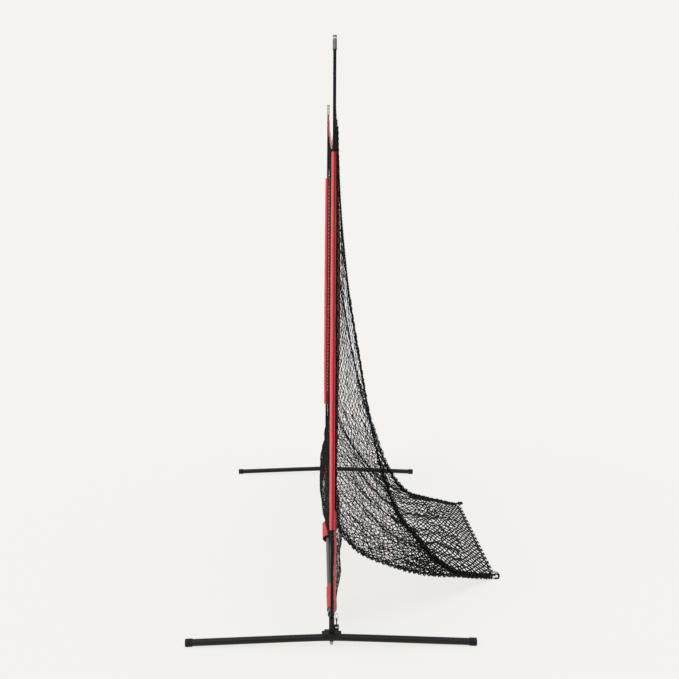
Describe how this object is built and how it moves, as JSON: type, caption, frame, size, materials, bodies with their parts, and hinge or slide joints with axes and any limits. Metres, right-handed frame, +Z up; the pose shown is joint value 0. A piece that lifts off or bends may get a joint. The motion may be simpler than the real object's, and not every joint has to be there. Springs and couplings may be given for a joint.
{
  "type": "bow-frame golf net",
  "caption": "Free-standing golf hitting net: bowed fibreglass poles on bent steel feet and a base bar, red sleeves and hems, black hitting net, side wings and a ball return net that runs down to the floor.",
  "frame": {"origin": "middle of the footprint, on the floor", "axes": "+Z up, +X from the bare side of the frame to the side of the wings and the ball return, +Y along the base bar to the far pole"},
  "size_m": [1.2505, 2.22, 2.1347],
  "materials": {
    "powder_coated_tube": "black powder coat, satin",
    "moulded_plastic": "moulded black, fine texture",
    "fibreglass_rod": "black pultruded glass fibre, satin",
    "zinc_plated_steel": "bright zinc plate",
    "red_canvas": "red woven polyester with stitched edges",
    "pale_webbing": "undyed woven webbing",
    "black_netting": "black knotless netting and rope"
  },
  "bodies": {
    "frame": {"back_edge_rope": "black_netting", "ball_return_net": "black_netting", "base_bar_coupler": "zinc_plated_steel", "base_bar_far": "powder_coated_tube", "base_bar_near": "powder_coated_tube", "bottom_hem": "black_netting", "far_border_rope": "black_netting", "far_corner_hook": "moulded_plastic", "far_corner_patch": "red_canvas", "far_corner_strap": "pale_webbing", "far_ferrule_lower": "zinc_plated_steel", "far_ferrule_upper": "zinc_plated_steel", "far_hub_bracket": "powder_coated_tube", "far_pivot_bolt": "zinc_plated_steel", "far_pivot_cap_nut": "zinc_plated_steel", "far_pivot_washer": "zinc_plated_steel", "far_pole_lower": "fibreglass_rod", "far_pole_middle": "fibreglass_rod", "far_pole_sleeve": "red_canvas", "far_pole_upper": "fibreglass_rod", "far_side_hem": "red_canvas", "far_side_wing": "black_netting", "far_tip_cap": "zinc_plated_steel", "far_tip_strap": "pale_webbing", "far_wrap_tab": "red_canvas", "frame_net": "black_netting", "middle_wrap_tab": "red_canvas", "near_border_rope": "black_netting", "near_corner_hook": "moulded_plastic", "near_corner_patch": "red_canvas", "near_corner_strap": "pale_webbing", "near_ferrule_lower": "zinc_plated_steel", "near_ferrule_upper": "zinc_plated_steel", "near_hub_bracket": "powder_coated_tube", "near_pivot_bolt": "zinc_plated_steel", "near_pivot_cap_nut": "zinc_plated_steel", "near_pivot_washer": "zinc_plated_steel", "near_pole_lower": "fibreglass_rod", "near_pole_middle": "fibreglass_rod", "near_pole_sleeve": "red_canvas", "near_pole_upper": "fibreglass_rod", "near_side_hem": "red_canvas", "near_side_wing": "black_netting", "near_tip_cap": "zinc_plated_steel", "near_tip_strap": "pale_webbing", "near_wrap_tab": "red_canvas", "top_hem": "red_canvas"},
    "near_foot": {"near_foot_tube": "powder_coated_tube", "near_foot_cap_front": "moulded_plastic", "near_foot_cap_back": "moulded_plastic", "near_swivel_saddle": "moulded_plastic"},
    "far_foot": {"far_foot_tube": "powder_coated_tube", "far_foot_cap_front": "moulded_plastic", "far_foot_cap_back": "moulded_plastic", "far_swivel_saddle": "moulded_plastic"},
    "near_button": {"near_hub_snap_button": "zinc_plated_steel"},
    "far_button": {"far_hub_snap_button": "zinc_plated_steel"},
    "coupler_button": {"coupler_snap_button": "zinc_plated_steel"}
  },
  "joints": [
    {"name": "near_foot_swivel", "type": "hinge", "parent": "frame", "child": "near_foot", "pos_m": [-0.105, -1.09, 0.0322], "axis": [0, 0, 1], "range_deg": [-90, 0]},
    {"name": "far_foot_swivel", "type": "hinge", "parent": "frame", "child": "far_foot", "pos_m": [-0.105, 1.09, 0.0322], "axis": [0, 0, 1], "range_deg": [0, 90]},
    {"name": "near_button_press", "type": "slide", "parent": "frame", "child": "near_button", "axis": [-1, 0, 0], "range_m": [0, 0.0048], "stiffness_N_per_m": 800, "springref_m": -0.002},
    {"name": "far_button_press", "type": "slide", "parent": "frame", "child": "far_button", "axis": [-1, 0, 0], "range_m": [0, 0.0048], "stiffness_N_per_m": 800, "springref_m": -0.002},
    {"name": "coupler_button_press", "type": "slide", "parent": "frame", "child": "coupler_button", "axis": [-1, 0, 0], "range_m": [0, 0.0048], "stiffness_N_per_m": 800, "springref_m": -0.002}
  ]
}
